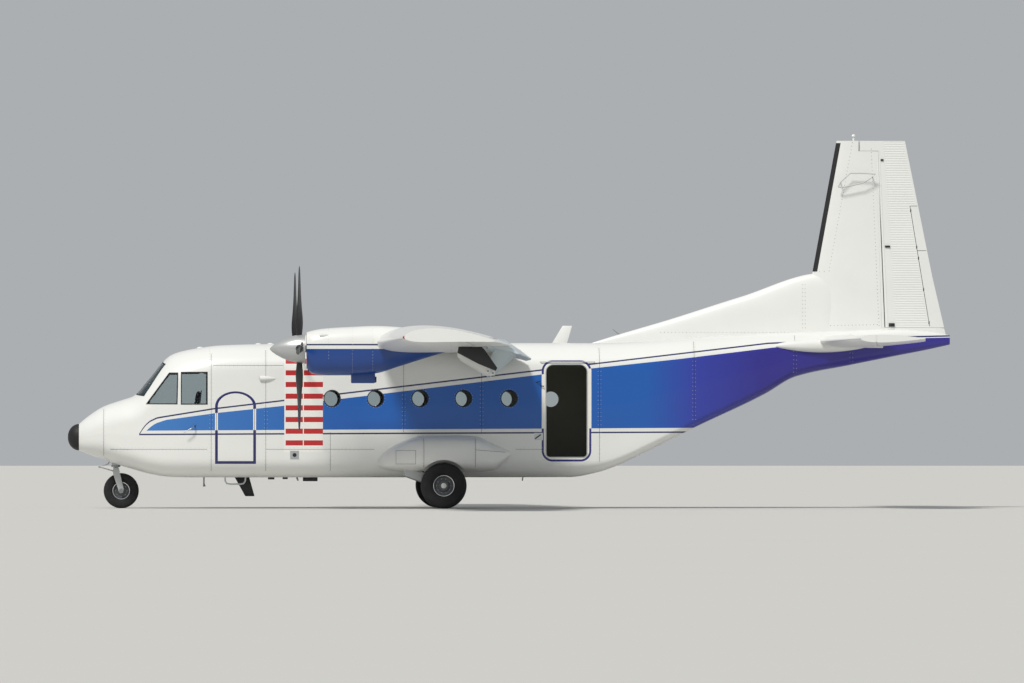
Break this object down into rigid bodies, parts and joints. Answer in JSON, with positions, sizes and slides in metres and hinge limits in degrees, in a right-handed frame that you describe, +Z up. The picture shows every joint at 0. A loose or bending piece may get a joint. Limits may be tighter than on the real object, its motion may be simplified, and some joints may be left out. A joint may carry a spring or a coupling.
{
  "type": "twin-turboprop utility aircraft",
  "caption": "High-wing propeller transport with a hollow cabin, rear loading ramp, drooped flaps, moving control surfaces and a steered nosewheel, parked on its fixed undercarriage.",
  "frame": {"origin": "on the ground, under the middle of the length, on the centre plane", "axes": "-X towards the nose, -Y towards the port wing tip, +Z up"},
  "size_m": [15.162, 19, 6.32],
  "materials": {
    "airframe_paint": "satin white paint",
    "rear_door_paint": "satin white paint, shaded",
    "leg_paint": "light grey enamel",
    "nose_cap_rubber": "matt black",
    "window_glass": "clear with a grey tint",
    "cabin_liner": "matt lining",
    "floor_panel": "worn grey",
    "panel_black": "matt black",
    "seat_cloth": "woven",
    "blade_paint": "matt black paint",
    "spinner_metal": "satin",
    "engine_metal": "plain block",
    "rim_metal": "cast and painted",
    "tyre": "black rubber"
  },
  "bodies": {
    "airframe": {"nose_cone": "airframe_paint", "cockpit_shell": "airframe_paint", "cabin_shell": "airframe_paint", "rear_fuselage": "airframe_paint", "tail_cone": "airframe_paint", "wing_centre": "airframe_paint", "wing_left": "airframe_paint", "wing_right": "airframe_paint", "nacelle_left": "airframe_paint", "nacelle_right": "airframe_paint", "tailplane_left": "airframe_paint", "tailplane_right": "airframe_paint", "sponson_left": "airframe_paint", "sponson_right": "airframe_paint", "fin": "airframe_paint", "main_leg_left": "leg_paint", "main_leg_right": "leg_paint", "nose_leg": "leg_paint", "nose_cap": "nose_cap_rubber", "windscreen": "window_glass", "side_glass_left": "window_glass", "side_glass_right": "window_glass", "cabin_bulkhead": "cabin_liner", "cabin_floor": "floor_panel", "instrument_panel": "panel_black", "pilot_seat_left": "seat_cloth", "pilot_seat_right": "seat_cloth", "cabin_bench_left": "seat_cloth", "cabin_bench_right": "seat_cloth", "engine_left": "engine_metal", "engine_right": "engine_metal"},
    "crew_door": {"crew_door": "airframe_paint"},
    "rear_ramp": {"rear_ramp": "rear_door_paint"},
    "upper_rear_door": {"upper_rear_door": "rear_door_paint"},
    "flap_inner_left": {"flap_inner_left": "airframe_paint"},
    "flap_inner_right": {"flap_inner_right": "airframe_paint"},
    "flap_outer_left": {"flap_outer_left": "airframe_paint"},
    "flap_outer_right": {"flap_outer_right": "airframe_paint"},
    "aileron_left": {"aileron_left": "airframe_paint"},
    "aileron_right": {"aileron_right": "airframe_paint"},
    "elevator_left": {"elevator_left": "airframe_paint"},
    "elevator_right": {"elevator_right": "airframe_paint"},
    "rudder": {"rudder": "airframe_paint"},
    "propeller_left": {"propeller_left": "blade_paint", "spinner_left": "spinner_metal"},
    "propeller_right": {"propeller_right": "blade_paint", "spinner_right": "spinner_metal"},
    "main_wheel_left": {"main_wheel_left": "rim_metal", "main_tyre_left": "tyre"},
    "main_wheel_right": {"main_wheel_right": "rim_metal", "main_tyre_right": "tyre"},
    "nose_fork": {"nose_fork": "leg_paint"},
    "nose_wheel": {"nose_wheel": "rim_metal", "nose_tyre": "tyre"}
  },
  "joints": [
    {"name": "crew_door_hinge", "type": "hinge", "parent": "airframe", "child": "crew_door", "pos_m": [-5.05, -1.163, 1.4], "axis": [0, 0, -1], "range_deg": [0, 100]},
    {"name": "rear_ramp_hinge", "type": "hinge", "parent": "airframe", "child": "rear_ramp", "pos_m": [1.499, 0, 0.597], "axis": [0, 1, 0], "range_deg": [0, 44]},
    {"name": "upper_rear_door_hinge", "type": "hinge", "parent": "airframe", "child": "upper_rear_door", "pos_m": [4.69, 0, 2.256], "axis": [0, 1, 0], "range_deg": [0, 42]},
    {"name": "flap_inner_left_hinge", "type": "hinge", "parent": "airframe", "child": "flap_inner_left", "pos_m": [-0.4, -1.21, 2.29], "axis": [0, 1, 0], "range_deg": [-16, 24]},
    {"name": "flap_inner_right_hinge", "type": "hinge", "parent": "airframe", "child": "flap_inner_right", "pos_m": [-0.4, 1.21, 2.29], "axis": [0, 1, 0], "range_deg": [-16, 24]},
    {"name": "flap_outer_left_hinge", "type": "hinge", "parent": "airframe", "child": "flap_outer_left", "pos_m": [-0.4, -3.215, 2.29], "axis": [0.068, 0.9977, -0.0034], "range_deg": [-16, 24]},
    {"name": "flap_outer_right_hinge", "type": "hinge", "parent": "airframe", "child": "flap_outer_right", "pos_m": [-0.4, 3.215, 2.29], "axis": [-0.068, 0.9977, 0.0034], "range_deg": [-16, 24]},
    {"name": "aileron_left_hinge", "type": "hinge", "parent": "airframe", "child": "aileron_left", "pos_m": [-0.745, -6.24, 2.80136], "axis": [0.0975, 0.9952, -0.0045], "range_deg": [-20, 20]},
    {"name": "aileron_right_hinge", "type": "hinge", "parent": "airframe", "child": "aileron_right", "pos_m": [-0.745, 6.24, 2.80136], "axis": [-0.0975, 0.9952, 0.0045], "range_deg": [-20, 20]},
    {"name": "elevator_left_hinge", "type": "hinge", "parent": "airframe", "child": "elevator_left", "pos_m": [6.3452, -0.575, 2.865], "axis": [0.0899, 0.996, 0], "range_deg": [-25, 20]},
    {"name": "elevator_right_hinge", "type": "hinge", "parent": "airframe", "child": "elevator_right", "pos_m": [6.3452, 0.575, 2.865], "axis": [-0.0899, 0.996, 0], "range_deg": [-25, 20]},
    {"name": "rudder_hinge", "type": "hinge", "parent": "airframe", "child": "rudder", "pos_m": [6.519, 0, 3.11], "axis": [-0.0473, 0, 0.9989], "range_deg": [-25, 25]},
    {"name": "propeller_left_spin", "type": "hinge", "parent": "airframe", "child": "propeller_left", "pos_m": [-3.65, -2.635, 2.704], "axis": [1, 0, 0], "continuous": true},
    {"name": "propeller_right_spin", "type": "hinge", "parent": "airframe", "child": "propeller_right", "pos_m": [-3.65, 2.635, 2.704], "axis": [1, 0, 0], "continuous": true},
    {"name": "main_wheel_left_spin", "type": "hinge", "parent": "airframe", "child": "main_wheel_left", "pos_m": [-1.181, -1.55, 0.38954], "axis": [0, 1, 0], "continuous": true},
    {"name": "main_wheel_right_spin", "type": "hinge", "parent": "airframe", "child": "main_wheel_right", "pos_m": [-1.181, 1.55, 0.38954], "axis": [0, 1, 0], "continuous": true},
    {"name": "nose_steering", "type": "hinge", "parent": "airframe", "child": "nose_fork", "pos_m": [-6.76, 0, 0.6], "axis": [0, 0, 1], "range_deg": [-50, 50]},
    {"name": "nose_wheel_spin", "type": "hinge", "parent": "nose_fork", "child": "nose_wheel", "pos_m": [-6.667, 0, 0.3001], "axis": [0, 1, 0], "continuous": true}
  ],
  "couplings": [
    {"joint": "flap_inner_right_hinge", "follows": "flap_inner_left_hinge", "ratio": 1},
    {"joint": "flap_outer_left_hinge", "follows": "flap_inner_left_hinge", "ratio": 1},
    {"joint": "flap_outer_right_hinge", "follows": "flap_inner_left_hinge", "ratio": 1},
    {"joint": "aileron_right_hinge", "follows": "aileron_left_hinge", "ratio": -1},
    {"joint": "elevator_right_hinge", "follows": "elevator_left_hinge", "ratio": 1}
  ]
}
